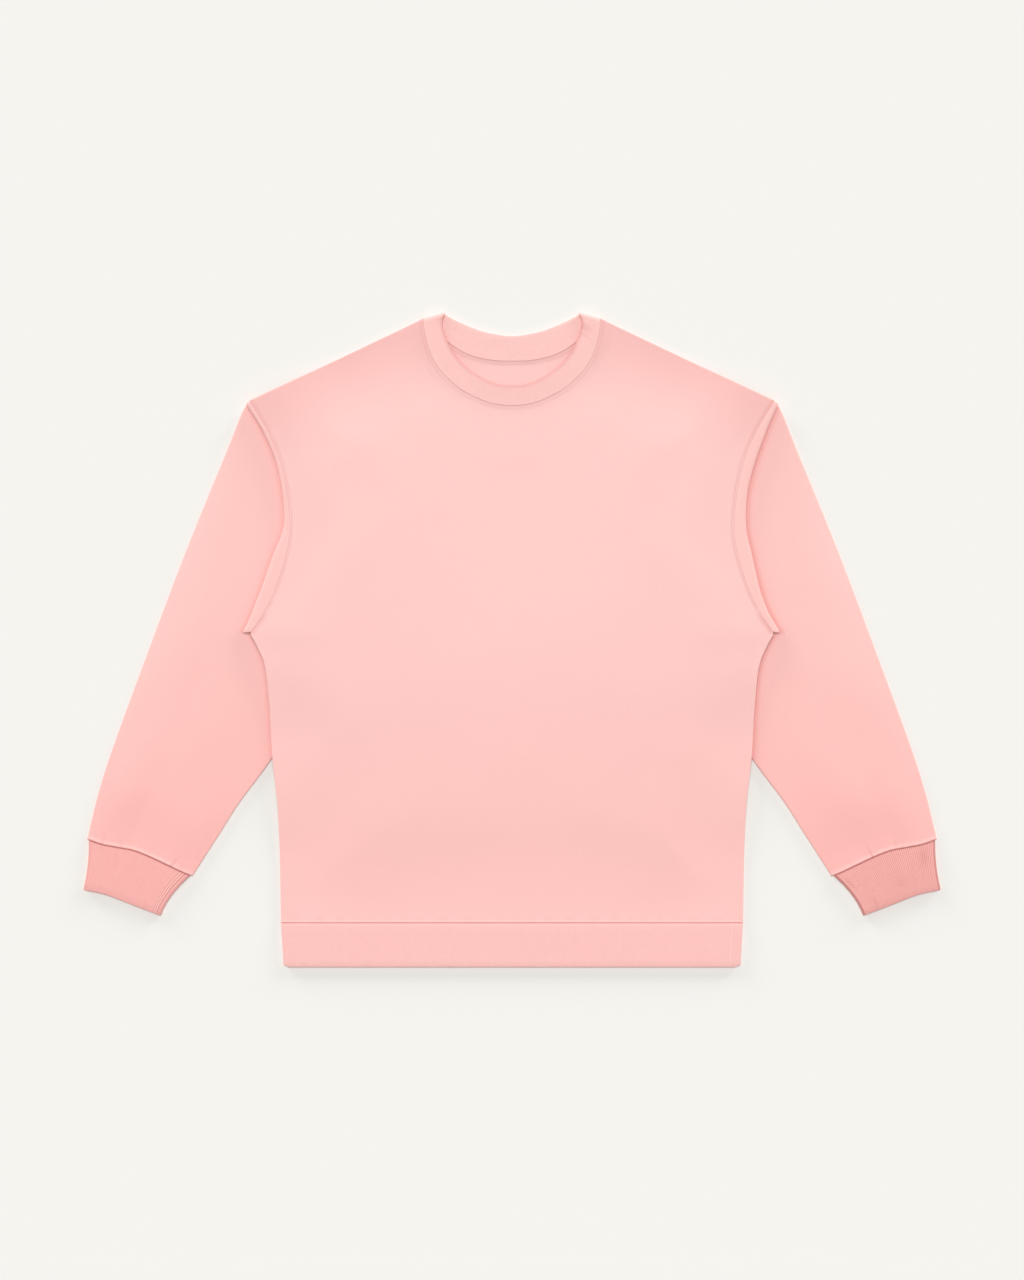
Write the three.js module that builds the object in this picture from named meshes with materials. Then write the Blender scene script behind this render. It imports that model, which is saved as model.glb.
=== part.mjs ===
// A crewneck sweatshirt in brushed fleece jersey, laid flat on its back with the sleeves folded down.
// Millimetres, +Z up, +Y towards the collar, the surface it lies on is z = 0.
// The body is a front and a back panel. Each sleeve is one tube: from the armhole it folds under
// the body, makes a wedge-shaped pleat there and comes out again below, down to its cuff.
// Collar, cuffs and hem are doubled 1x1 rib, with the ribs raised on the faces that look up.

import * as THREE from "three";

// Cloth
const FLEECE = 1.4;
const RIB_CLOTH = 2.4;
const SEAM_GAP = 0.3;
const RIB_PITCH = 2.1;
const RIB_RELIEF = 0.45;
const STEPS_PER_PLAIN_STEP = 12;

// Body
const HEM_SEAM_Y = -302.4;
const HEM_FOLD_Y = -349.7;
const HEM_SEAM_HALF = 246.9;
const HEM_FOLD_HALF = 244.2;
const ARMPIT_Y = 7.5;
const SHOULDER = { x: 280.3, y: 255.4 };
const NECK_POINT = { x: 94, y: 344 };
const SIDE_ROWS = 9;
const ARMHOLE_ROWS = 9;
const SHOULDER_COLUMNS = 5;
const NECK_COLUMNS = 16;
const SIDE_CROWDING = 1.6; // rows of points crowd towards the armpit
const ARMHOLE_CROWDING = 1.3;

// The front panel swells over the back one, up to this much, away from its seams.
const FRONT_LOFT = 2.6;
const LOFT_FROM_SIDE = 75;
const LOFT_FROM_SHOULDER = 60;
const LOFT_FROM_HEM = 120;
const LOFT_SHARE_AT_HEM = 0.5;

// Half the body's width at height y, from the hem seam up to the armpit.
const SIDE = [
  { y: -302.4, x: 246.9 },
  { y: -218, x: 248.5 },
  { y: -171, x: 251 },
  { y: -126, x: 256 },
  { y: -60, x: 260 },
  { y: -25, x: 264.5 },
  { y: -6, x: 272.5 },
  { y: 7.5, x: 280 },
];

// Half the body's width at height y, from the armpit up to the shoulder tip.
const ARMHOLE = [
  { y: 7.5, x: 280 },
  { y: 30, x: 264.5 },
  { y: 62, x: 250 },
  { y: 105, x: 238.5 },
  { y: 140, x: 238.3 },
  { y: 186, x: 246.2 },
  { y: 222, x: 260.5 },
  { y: 255.4, x: 280.3 },
];

// How far the sleeve shows past the armhole seam at height y, before it folds under.
const SLEEVE_FOLD = [
  { y: 7.5, left: 7, right: 8 },
  { y: 42, left: 10.5, right: 14.6 },
  { y: 90, left: 15, right: 14 },
  { y: 122, left: 12.8, right: 6.5 },
  { y: 155, left: 11.1, right: 5 },
  { y: 190, left: 12.4, right: 5 },
  { y: 219, left: 11, right: 5 },
  { y: 255.4, left: 4.5, right: 4.5 },
];

// Half of the front neckline and of the back one, from the shoulder to the middle.
const FRONT_NECKLINE = [
  { x: 94, y: 344 },
  { x: 93.5, y: 331.3 },
  { x: 87.6, y: 307.8 },
  { x: 76.6, y: 288.6 },
  { x: 58.8, y: 270.9 },
  { x: 39.5, y: 259.7 },
  { x: 20.3, y: 252.6 },
  { x: 0, y: 250.6 },
];
const BACK_NECKLINE = [
  { x: 94, y: 344 },
  { x: 78, y: 327 },
  { x: 60.9, y: 313.1 },
  { x: 44.9, y: 304.6 },
  { x: 22, y: 299.2 },
  { x: 0, y: 298.2 },
];

// Half of the collar's folded edge, in front and behind.
const FRONT_COLLAR_EDGE = [
  { x: 71.4, y: 347.8 },
  { x: 74, y: 341 },
  { x: 73.7, y: 334 },
  { x: 70.5, y: 323.3 },
  { x: 63.1, y: 307.8 },
  { x: 49, y: 291.8 },
  { x: 24, y: 276.5 },
  { x: 0, y: 272.3 },
];
const BACK_COLLAR_EDGE = [
  { x: 71.4, y: 347.8 },
  { x: 55.6, y: 339.9 },
  { x: 34.2, y: 331.3 },
  { x: 12.8, y: 326.5 },
  { x: 0, y: 325.4 },
];
const COLLAR_CREASE_OUT = { x: 0.1, y: 0.995 };
const COLLAR_SEAM_START = 0.011;
const FRONT_COLLAR_HEIGHT = 4.3;
const COLLAR_STAND = 1.2;
const FRONT_COLLAR_RIBS = 138;
const BACK_COLLAR_RIBS = 76;

// Sleeve: the crease along its top and the one along its underarm, for the stretch below the body.
const SLEEVE_TOP_CREASE = [
  { x: 270, y: 247.5 },
  { x: 285.5, y: 243.5 },
  { x: 308, y: 191.8 },
  { x: 349.5, y: 89.3 },
  { x: 388, y: -13.3 },
  { x: 425.4, y: -115.9 },
  { x: 441.5, y: -167.2 },
  { x: 452.7, y: -213.6 },
];
const SLEEVE_UNDER_CREASE = [
  { x: 171, y: -3 },
  { x: 257, y: -125.1 },
  { x: 292, y: -172.1 },
  { x: 313.3, y: -205.4 },
  { x: 334.6, y: -238.5 },
  { x: 343, y: -252 },
];
const CUFF_SEAM = [
  { x: 343, y: -252 },
  { x: 352.2, y: -248.4 },
  { x: 368.7, y: -240.5 },
  { x: 384.7, y: -233 },
  { x: 403.4, y: -225.5 },
  { x: 423.2, y: -221.6 },
  { x: 439.2, y: -218.4 },
  { x: 452.7, y: -213.6 },
];
const CUFF_OPENING = [
  { x: 378, y: -293.9 },
  { x: 406.7, y: -282.8 },
  { x: 433.9, y: -272.4 },
  { x: 455.9, y: -267.6 },
];
const CUFF_TOP_EDGE = [
  { x: 450.2, y: -216 },
  { x: 448.9, y: -225.5 },
  { x: 451.1, y: -240.5 },
  { x: 455.9, y: -267.6 },
];
const CUFF_UNDER_EDGE = [
  { x: 348.6, y: -252 },
  { x: 359.7, y: -262.4 },
  { x: 367.6, y: -274.5 },
  { x: 374, y: -285.2 },
  { x: 378, y: -293.9 },
];
// The cuff is narrower than the sleeve's end: the shares of the sleeve's seam where it starts and ends.
const CUFF_START = 0.09;
const CUFF_END = 0.972;
const CUFF_RIBS = 50;
const CUFF_GAP = 0.7;
const CUFF_ALONG = { x: 0.4, y: -0.9 };
const CUFF_LENGTH_STEPS = 3;
const CUFF_HOLLOW_STEPS = 26;
const HEM_HOLLOW_STEPS = 24;

// The sleeve swells up to this much once it is clear of the body.
const SLEEVE_LOFT = 3;
const SLEEVE_LOFT_START = 10;
const SLEEVE_LOFT_LENGTH = 60;
const SLEEVE_LENGTH_STEPS = 12;

// The sleeve's three runs at the armhole lie on each other, one step apart, and turn over on a small bend.
const LAYER_STEP = 4;
const BEND = LAYER_STEP / 2;
const HOLLOW_HALF = SEAM_GAP / 2;
const TUBE_HALF = FLEECE + HOLLOW_HALF;
const RIB_TUBE_HALF = RIB_CLOTH + HOLLOW_HALF;
const RUN_LEVEL = TUBE_HALF;
const PLEAT_LEVEL = RUN_LEVEL + LAYER_STEP;
const STRIP_LEVEL = PLEAT_LEVEL + LAYER_STEP;
const ARMHOLE_GAP = 0.4;

// Where the sleeve's lower run, and the pleat on it, lie under the body.
const RUN_UNDER_BODY = [
  { x: 285, y: 256 },
  { x: 164, y: -4 },
  { x: 255, y: -132 },
  { x: 330, y: -132 },
  { x: 330, y: 256 },
];
const PLEAT_UNDER_BODY = [
  { x: 285, y: 256 },
  { x: 164, y: -4 },
  { x: 290, y: 4 },
];
const RAMP_START = 26;
const RAMP_LENGTH = 50;

const clamp01 = (value) => Math.min(1, Math.max(0, value));
const mix = (a, b, s) => a + (b - a) * s;
const ease = (s) => clamp01(s) ** 2 * (3 - 2 * clamp01(s));
const mixPoint = (a, b, s) => ({ x: mix(a.x, b.x, s), y: mix(a.y, b.y, s) });
const mirrored = (p) => ({ x: -p.x, y: p.y });
const steps = (count) => Array.from({ length: count + 1 }, (_, k) => k / count);

// The unit vector from one plan point to another.
function direction(from, to) {
  const length = Math.hypot(to.x - from.x, to.y - from.y);
  return { x: (to.x - from.x) / length, y: (to.y - from.y) / length };
}

// A column of a table at height y, on a smooth curve through its rows.
function readTable(rows, column, y) {
  const last = rows.length - 1;
  let i = 0;
  while (i < last - 1 && y > rows[i + 1].y) i++;
  const slope = (k) => {
    const before = rows[Math.max(0, k - 1)];
    const after = rows[Math.min(last, k + 1)];
    return (after[column] - before[column]) / (after.y - before.y);
  };
  const span = rows[i + 1].y - rows[i].y;
  const s = clamp01((y - rows[i].y) / span);
  const a = rows[i][column];
  const b = rows[i + 1][column];
  const bend = s * (1 - s) * span;
  return mix(a, b, s * s * (3 - 2 * s)) + bend * ((1 - s) * slope(i) - s * slope(i + 1));
}

// A smooth plan curve through the points, as a list of evenly spaced ones.
function smooth(points, count) {
  const curve = new THREE.SplineCurve(points.map((p) => new THREE.Vector2(p.x, p.y)));
  return curve.getSpacedPoints(count).map((p) => ({ x: p.x, y: p.y }));
}

// The place at s, from 0 to 1, along a list of points joined by straight lines.
function along(points, s) {
  const place = clamp01(s) * (points.length - 1);
  const i = Math.min(Math.floor(place), points.length - 2);
  return mixPoint(points[i], points[i + 1], place - i);
}

// A whole symmetrical curve from its right half, which ends on the middle line: left end first.
function wholeCurve(half, count) {
  return smooth([...half.map(mirrored), ...half.slice(0, -1).reverse()], count);
}

// How far a point lies outside a convex outline whose corners run anticlockwise.
function distanceOutside(outline, point) {
  return Math.max(
    ...outline.map((corner, i) => {
      const edge = direction(corner, outline[(i + 1) % outline.length]);
      return (point.x - corner.x) * edge.y - (point.y - corner.y) * edge.x;
    }),
  );
}

// A closed surface that is put together from rows of points.
class Shell {
  points = [];
  faces = [];

  // Adds a row of [x, y, z] points and returns their numbers.
  row(points) {
    const first = this.points.length;
    this.points.push(...points);
    return points.map((_, k) => first + k);
  }

  // Fills the strip between two rows of any lengths, and closes it on itself when they are loops.
  strip(one, other, loop = false) {
    const a = loop ? [...one, one[0]] : one;
    const b = loop ? [...other, other[0]] : other;
    let i = 0;
    let j = 0;
    while (i < a.length - 1 || j < b.length - 1) {
      const stepOne = (i + 1) / (a.length - 1) <= (j + 1) / (b.length - 1);
      if (j === b.length - 1 || (i < a.length - 1 && stepOne)) {
        this.faces.push([a[i], a[i + 1], b[j]]);
        i++;
      } else {
        this.faces.push([a[i], b[j + 1], b[j]]);
        j++;
      }
    }
  }

  // Fills the end of a tube between two loops, one side of the loops at a time.
  cap(one, other) {
    const side = ({ row, corners }, k) => [...row, row[0]].slice(corners[k], (corners[k + 1] ?? row.length) + 1);
    one.corners.forEach((_, k) => this.strip(side(one, k), side(other, k)));
  }

  // The geometry, with its faces pointing out whichever way the rows ran, mirrored in x when asked.
  geometry(mirror = false) {
    const side = mirror ? -1 : 1;
    const points = this.points.map(([x, y, z]) => [side * x, y, z]);
    let volume = 0;
    for (const [a, b, c] of this.faces) {
      const [p, q, r] = [points[a], points[b], points[c]].map((v) => new THREE.Vector3(...v));
      volume += p.dot(q.cross(r));
    }
    const outward = volume > 0 ? this.faces : this.faces.map(([a, b, c]) => [a, c, b]);
    const geometry = new THREE.BufferGeometry();
    geometry.setAttribute("position", new THREE.Float32BufferAttribute(points.flat(), 3));
    geometry.setIndex(outward.flat());
    geometry.computeVertexNormals();
    return geometry;
  }
}

// Body panels

const sideHeights = steps(SIDE_ROWS).map((s) => mix(ARMPIT_Y, HEM_SEAM_Y, (1 - s) ** SIDE_CROWDING));
const armholeHeights = steps(ARMHOLE_ROWS).map((s) => mix(ARMPIT_Y, SHOULDER.y, s ** ARMHOLE_CROWDING));
const bodyEdge = [
  ...sideHeights.slice(0, -1).map((y) => ({ x: readTable(SIDE, "x", y), y })),
  ...armholeHeights.map((y) => ({ x: readTable(ARMHOLE, "x", y), y })),
];

// Half the body's width at height y, along the panels' own straight-sided edge.
function bodyHalf(y) {
  const last = bodyEdge.length - 1;
  let i = 0;
  while (i < last - 1 && y > bodyEdge[i + 1].y) i++;
  const s = clamp01((y - bodyEdge[i].y) / (bodyEdge[i + 1].y - bodyEdge[i].y));
  return mix(bodyEdge[i].x, bodyEdge[i + 1].x, s);
}

// How high the sleeve layers folded under the body hold up its back panel.
function liftOverSleeve(x, y) {
  const point = { x: Math.abs(x), y };
  return [RUN_UNDER_BODY, PLEAT_UNDER_BODY]
    .map((outline) => (distanceOutside(outline, point) - RAMP_START) / RAMP_LENGTH)
    .reduce((height, s) => height + LAYER_STEP * (1 - ease(s)), 0);
}

// How far the front panel swells over the back one: nothing at its side and shoulder seams.
function frontLoft(x, y) {
  const fromSide = bodyHalf(Math.min(y, SHOULDER.y)) - Math.abs(x);
  const slope = direction(SHOULDER, NECK_POINT);
  const fromShoulder = (SHOULDER.y - y) * -slope.x - (SHOULDER.x - Math.abs(x)) * -slope.y;
  const hemShare = mix(LOFT_SHARE_AT_HEM, 1, ease((y - HEM_SEAM_Y) / LOFT_FROM_HEM));
  return FRONT_LOFT * ease(fromSide / LOFT_FROM_SIDE) * ease(fromShoulder / LOFT_FROM_SHOULDER) * hemShare;
}

// One panel: a sheet inside the body's outline and the given neckline, on the given underside.
function panel(neckline, underside) {
  const shoulder = steps(SHOULDER_COLUMNS).map((s) => mixPoint(SHOULDER, NECK_POINT, s));
  const top = [
    ...shoulder.slice(0, -1).map(mirrored),
    ...wholeCurve(neckline, NECK_COLUMNS),
    ...shoulder.slice(0, -1).reverse(),
  ];
  const shell = new Shell();
  const rows = bodyEdge.map((edge) => {
    const v = (edge.y - HEM_SEAM_Y) / (SHOULDER.y - HEM_SEAM_Y);
    return top.map((end, j) => {
      const even = (2 * j) / (top.length - 1) - 1;
      const x = edge.x * mix(even, end.x / SHOULDER.x, v);
      return { x, y: mix(HEM_SEAM_Y, end.y, v) };
    });
  });
  const sheet = (lift) => rows.map((row) => shell.row(row.map(({ x, y }) => [x, y, underside(x, y) + lift])));
  const low = sheet(0);
  const high = sheet(FLEECE);
  for (let i = 1; i < rows.length; i++) {
    shell.strip(low[i], low[i - 1]);
    shell.strip(high[i - 1], high[i]);
  }
  const rim = (sheetRows) => [
    ...sheetRows[0],
    ...sheetRows.slice(1, -1).map((row) => row.at(-1)),
    ...sheetRows.at(-1).toReversed(),
    ...sheetRows.slice(1, -1).toReversed().map((row) => row[0]),
  ];
  shell.strip(rim(low), rim(high), true);
  return shell.geometry();
}

// Flattened tubes

// One loop round a flattened tube. line holds its mid points from crease to crease, up the direction
// from the mid line to the upper wall, and ends the direction past each crease. The lower wall has
// one point for every so many of the upper wall's. The corners are the places in the loop where the upper
// wall, a crease, the lower wall and the other crease start.
function loopAround({ line, up, ends }, half, loft, relief, every) {
  const last = line.length - 1;
  const at = ([x, y, z], out, angle) => {
    const side = half * Math.cos(angle);
    const rise = half * Math.sin(angle);
    return [x + out[0] * side + up[0] * rise, y + out[1] * side + up[1] * rise, z + up[2] * rise];
  };
  const flat = [0, 0];
  const upper = line.map((p, j) => {
    const [x, y, z] = at(p, flat, Math.PI / 2);
    const raise = loft(j / last, p) + relief(j);
    return [x + up[0] * raise, y + up[1] * raise, z + up[2] * raise];
  });
  const plain = line.filter((_, j) => j % every === 0 || j === last);
  const lower = plain.map((p) => at(p, flat, -Math.PI / 2)).reverse();
  const crease = (p, out, angles) => angles.map((angle) => at(p, out, angle));
  const turn = [Math.PI / 4, 0, -Math.PI / 4];
  const lowerStart = upper.length + turn.length;
  return {
    points: [...upper, ...crease(line[last], ends[1], turn), ...lower, ...crease(line[0], ends[0], turn.toReversed())],
    corners: [0, last, lowerStart, lowerStart + lower.length - 1],
  };
}

const flush = () => 0;

// A tube through its rings, open at both ends, with the given half thickness round a thin hollow.
function tube(rings, half, loft, relief = flush, hollowRings = rings, every = 1) {
  const shell = new Shell();
  const loopOf = (...form) => {
    const { points, corners } = loopAround(...form);
    return { row: shell.row(points), corners };
  };
  const outer = rings.map((ring) => loopOf(ring, half, loft, relief, every));
  const inner = hollowRings.map((ring) => loopOf(ring, HOLLOW_HALF, loft, flush, 1));
  for (let i = 1; i < outer.length; i++) shell.strip(outer[i - 1].row, outer[i].row, true);
  for (let i = 1; i < inner.length; i++) shell.strip(inner[i].row, inner[i - 1].row, true);
  shell.cap(inner[0], outer[0]);
  shell.cap(outer.at(-1), inner.at(-1));
  return shell;
}

const UP = [0, 0, 1];

// A ring that lies level: its creases point on along its own line.
function levelRing(plan, height) {
  const first = direction(plan[1], plan[0]);
  const last = direction(plan.at(-2), plan.at(-1));
  return {
    line: plan.map((p) => [p.x, p.y, height]),
    up: UP,
    ends: [
      [first.x, first.y],
      [last.x, last.y],
    ],
  };
}

// Sleeves

const cuffSeam = smooth(CUFF_SEAM, ARMHOLE_ROWS);

// The sleeve on the side of positive x: side names the column of the fold table.
function sleeve(side) {
  const inset = [armholeHeights[0] + TUBE_HALF, ...armholeHeights.slice(1, -1), SHOULDER.y - TUBE_HALF];
  const armhole = inset.map((y) => ({ x: bodyHalf(y) + ARMHOLE_GAP, y }));
  const fold = inset.map((y) => {
    const reach = Math.max(readTable(SLEEVE_FOLD, side, y), ARMHOLE_GAP + BEND + TUBE_HALF + SEAM_GAP);
    return { x: bodyHalf(y) + reach - BEND - TUBE_HALF, y };
  });
  const runTop = SLEEVE_TOP_CREASE[0];
  const runUnder = SLEEVE_UNDER_CREASE[0];
  const pleat = fold.map((_, j) => mixPoint(runUnder, runTop, j / (fold.length - 1)));
  const across = [
    [0, -1],
    [0, 1],
  ];
  const pleatRing = (plan) => ({ line: plan.map((p) => [p.x, p.y, PLEAT_LEVEL]), up: [0, 0, -1], ends: across });
  const bendRing = (plan, centre, angle, reach) => ({
    line: plan.map((p) => [p.x + reach * BEND * Math.sin(angle), p.y, centre + BEND * Math.cos(angle)]),
    up: [Math.sin(angle), 0, reach * Math.cos(angle)],
    ends: across,
  });
  const bend = [Math.PI / 4, Math.PI / 2, (3 * Math.PI) / 4];
  const middle = fold.map((p, j) => mixPoint(p, pleat[j], 0.5));
  const top = smooth(SLEEVE_TOP_CREASE, SLEEVE_LENGTH_STEPS);
  const under = smooth(SLEEVE_UNDER_CREASE, SLEEVE_LENGTH_STEPS);
  const run = top.map((_, k) => {
    const u = k / (top.length - 1);
    const plan = fold.map((_, j) => {
      const t = j / (fold.length - 1);
      const straight = mixPoint(under[k], top[k], t);
      const start = mixPoint(under[0], top[0], t);
      const end = mixPoint(under.at(-1), top.at(-1), t);
      return {
        x: straight.x + (1 - u) * (pleat[j].x - start.x) + u * (cuffSeam[j].x - end.x),
        y: straight.y + (1 - u) * (pleat[j].y - start.y) + u * (cuffSeam[j].y - end.y),
      };
    });
    return levelRing(plan, RUN_LEVEL);
  });
  const rings = [
    levelRing(armhole, STRIP_LEVEL),
    levelRing(fold, STRIP_LEVEL),
    ...bend.map((angle) => bendRing(fold, STRIP_LEVEL - BEND, angle, 1)),
    pleatRing(fold),
    pleatRing(middle),
    pleatRing(pleat),
    ...bend.map((angle) => bendRing(pleat, PLEAT_LEVEL - BEND, angle, -1)),
    ...run,
  ];
  // The run swells only where it lies clear of the body above it, and not at its creases.
  const loft = (t, [x, y, z]) => {
    const clear = x - bodyHalf(y) - readTable(SLEEVE_FOLD, side, Math.min(Math.max(y, ARMPIT_Y), SHOULDER.y));
    const onRun = z < (RUN_LEVEL + PLEAT_LEVEL) / 2 ? 1 : 0;
    const crown = 1 - (2 * t - 1) ** 4;
    return onRun * SLEEVE_LOFT * ease((clear - SLEEVE_LOFT_START) / SLEEVE_LOFT_LENGTH) * crown;
  };
  return tube(rings, TUBE_HALF, loft);
}

// Ribbed bands

// Raised along the middle of each rib and low between two, for a row with two steps a rib.
const ribRelief = (j) => (j % 2 ? RIB_RELIEF : 0);

// A cuff on the side of positive x.
function cuff() {
  const count = 2 * CUFF_RIBS;
  const [opening, topEdge, underEdge] = [CUFF_OPENING, CUFF_TOP_EDGE, CUFF_UNDER_EDGE].map((edge) =>
    smooth(edge, SLEEVE_LENGTH_STEPS),
  );
  const seamUnder = along(cuffSeam, CUFF_START);
  const seamTop = along(cuffSeam, CUFF_END);
  const ringsOf = (number) =>
    steps(CUFF_LENGTH_STEPS).map((u) => {
      const plan = steps(number).map((t) => {
        const seam = along(cuffSeam, mix(CUFF_START, CUFF_END, t));
        const first = { x: seam.x + CUFF_ALONG.x * CUFF_GAP, y: seam.y + CUFF_ALONG.y * CUFF_GAP };
        const end = along(opening, t);
        const under = along(underEdge, u);
        const top = along(topEdge, u);
        const sideShift = (axis) => {
          const straightUnder = mix(seamUnder[axis], opening[0][axis], u);
          const straightTop = mix(seamTop[axis], opening.at(-1)[axis], u);
          return mix(under[axis] - straightUnder, top[axis] - straightTop, t) * ease(u * CUFF_LENGTH_STEPS);
        };
        return {
          x: mix(first.x, end.x, u) + sideShift("x"),
          y: mix(first.y, end.y, u) + sideShift("y"),
        };
      });
      return levelRing(plan, RIB_TUBE_HALF);
    });
  return tube(ringsOf(count), RIB_TUBE_HALF, flush, ribRelief, ringsOf(CUFF_HOLLOW_STEPS), STEPS_PER_PLAIN_STEP);
}

// The waistband.
function hemBand() {
  const count = 2 * Math.round((2 * HEM_SEAM_HALF) / RIB_PITCH);
  const ends = [
    { half: HEM_SEAM_HALF - RIB_TUBE_HALF, y: HEM_SEAM_Y - SEAM_GAP },
    { half: HEM_FOLD_HALF - RIB_TUBE_HALF, y: HEM_FOLD_Y },
  ];
  const ringsOf = (number) =>
    ends.map(({ half, y }) => levelRing(steps(number).map((t) => ({ x: mix(-half, half, t), y })), RIB_TUBE_HALF));
  return tube(ringsOf(count), RIB_TUBE_HALF, flush, ribRelief, ringsOf(HEM_HOLLOW_STEPS), STEPS_PER_PLAIN_STEP);
}

// The neckband: a ring of doubled rib that turns over at the two shoulder creases.
function collar() {
  const half = RIB_CLOTH / 2;
  const bendRadius = (FRONT_COLLAR_HEIGHT - half) / 2;
  // Each station has its folded edge, its seam edge, the height of both and the way out of the garment.
  const stations = [];
  const frontEdge = wholeCurve(FRONT_COLLAR_EDGE, 2 * FRONT_COLLAR_RIBS);
  const frontSeam = wholeCurve(FRONT_NECKLINE, NECK_COLUMNS);
  const backEdge = wholeCurve(BACK_COLLAR_EDGE, 2 * BACK_COLLAR_RIBS);
  const backSeam = wholeCurve(BACK_NECKLINE, NECK_COLUMNS);
  // The collar's own seam edge at s, just inside the panel's neckline.
  const seamAt = (neckline, s, edge) => {
    const seam = along(neckline, mix(COLLAR_SEAM_START, 1 - COLLAR_SEAM_START, s));
    const inward = direction(seam, edge);
    return { x: seam.x + inward.x * 2 * SEAM_GAP, y: seam.y + inward.y * 2 * SEAM_GAP };
  };
  frontEdge.forEach((edge, k) => {
    const s = k / (frontEdge.length - 1);
    const stand = COLLAR_STAND * Math.sin(Math.PI * s);
    const relief = ribRelief(k);
    const seam = seamAt(frontSeam, s, edge);
    stations.push({ edge, seam, height: FRONT_COLLAR_HEIGHT, stand, out: [0, 0, 1], up: relief, down: 0 });
  });
  const crease = (side, angles) => {
    const edge = side > 0 ? frontEdge.at(-1) : frontEdge[0];
    const s = side > 0 ? 1 : 0;
    const seams = [seamAt(frontSeam, s, edge), seamAt(backSeam, s, edge)];
    angles.forEach((angle) => {
      const seam = mixPoint(...seams, (1 - Math.cos(angle)) / 2);
      const reach = Math.sin(angle);
      const shift = { x: side * COLLAR_CREASE_OUT.x * reach, y: COLLAR_CREASE_OUT.y * reach };
      const move = (p) => ({ x: p.x + shift.x * bendRadius, y: p.y + shift.y * bendRadius });
      const height = half + bendRadius + bendRadius * Math.cos(angle);
      const out = [shift.x, shift.y, Math.cos(angle)];
      stations.push({ edge: move(edge), seam: move(seam), height, stand: 0, out, up: 0, down: 0 });
    });
  };
  const turn = [Math.PI / 4, Math.PI / 2, (3 * Math.PI) / 4];
  crease(1, turn);
  backEdge.toReversed().forEach((edge, k) => {
    const s = 1 - k / (backEdge.length - 1);
    const seam = seamAt(backSeam, s, edge);
    stations.push({ edge, seam, height: half, stand: 0, out: [0, 0, -1], up: 0, down: ribRelief(k) });
  });
  crease(-1, turn.toReversed());

  const shell = new Shell();
  const rows = stations.map(({ edge, seam, height, stand, out, up, down }) => {
    const at = (p, lift, reach) => [p.x + out[0] * reach, p.y + out[1] * reach, height + lift + out[2] * reach];
    const outside = half + up;
    const inside = -half - down;
    return shell.row([at(edge, stand, outside), at(edge, stand, inside), at(seam, 0, inside), at(seam, 0, outside)]);
  });
  rows.forEach((row, k) => shell.strip(row, rows[(k + 1) % rows.length], true));
  return shell;
}

// Materials and the scene graph

const fleece = new THREE.MeshStandardMaterial({ color: 0xfdc9c3, roughness: 0.95, metalness: 0 });
const rib = new THREE.MeshStandardMaterial({ color: 0xfcc6c0, roughness: 0.92, metalness: 0 });
const cuffRib = new THREE.MeshStandardMaterial({ color: 0xf6b3ad, roughness: 0.92, metalness: 0 });

const sweatshirt = new THREE.Group();
sweatshirt.name = "sweatshirt";

function add(parent, name, geometry, material) {
  const mesh = new THREE.Mesh(geometry, material);
  mesh.name = name;
  parent.add(mesh);
}

const body = new THREE.Group();
const frontUnderside = (x, y) => liftOverSleeve(x, y) + FLEECE + SEAM_GAP + frontLoft(x, y);
add(body, "back", panel(BACK_NECKLINE, liftOverSleeve), fleece);
add(body, "front", panel(FRONT_NECKLINE, frontUnderside), fleece);
add(body, "hem_rib", hemBand().geometry(), rib);
add(body, "collar", collar().geometry(), rib);
sweatshirt.add(body);

// The wearer's left arm lies at positive x.
for (const side of ["left", "right"]) {
  const arm = new THREE.Group();
  add(arm, "sleeve_" + side, sleeve(side).geometry(side === "right"), fleece);
  add(arm, "cuff_" + side, cuff().geometry(side === "right"), cuffRib);
  sweatshirt.add(arm);
}

export default sweatshirt;
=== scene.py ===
"""A crewneck sweatshirt in brushed fleece, laid flat on its back with its sleeves folded down.

Each cut piece is worked out again on a finer grid over its solid: the two body panels, two sleeves
that fold under the body, and doubled rib for the collar, cuffs and hem, with the sewing on the seams.
Lengths below are in millimetres, and meshes are in metres.
"""
import logging
from dataclasses import dataclass
from enum import Enum

import bpy
import numpy as np
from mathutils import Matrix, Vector


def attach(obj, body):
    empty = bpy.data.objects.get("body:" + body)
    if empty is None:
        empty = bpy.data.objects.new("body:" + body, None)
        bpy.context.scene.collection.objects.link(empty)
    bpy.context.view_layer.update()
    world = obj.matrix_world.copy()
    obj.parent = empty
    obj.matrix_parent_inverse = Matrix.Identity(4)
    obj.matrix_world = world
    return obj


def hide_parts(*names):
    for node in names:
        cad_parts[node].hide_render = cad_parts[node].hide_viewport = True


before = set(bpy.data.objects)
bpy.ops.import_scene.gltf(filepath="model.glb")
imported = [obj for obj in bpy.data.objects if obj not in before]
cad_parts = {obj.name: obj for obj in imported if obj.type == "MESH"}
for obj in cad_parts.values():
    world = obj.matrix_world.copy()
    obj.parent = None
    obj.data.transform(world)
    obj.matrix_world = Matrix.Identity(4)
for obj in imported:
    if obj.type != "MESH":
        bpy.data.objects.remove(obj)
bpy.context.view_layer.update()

MM = 0.001
LOG = logging.getLogger("sweatshirt")
# half the thickness of doubled rib
RIB_HALF = 1.2
# a distance from which a seam can't be seen any more
FAR_AWAY = 99.0
# how many places crowd at each end of a length
CROWD = 14
# the angles at which rib turns over between its upper and its lower wall
TURN_ANGLES = np.linspace(0, np.pi, 11)[1:-1]


class Side(Enum):
    """The wearer's two sides, with the sign of x that each lies at."""

    LEFT = 1
    RIGHT = -1


# Numbers and plan curves


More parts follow.
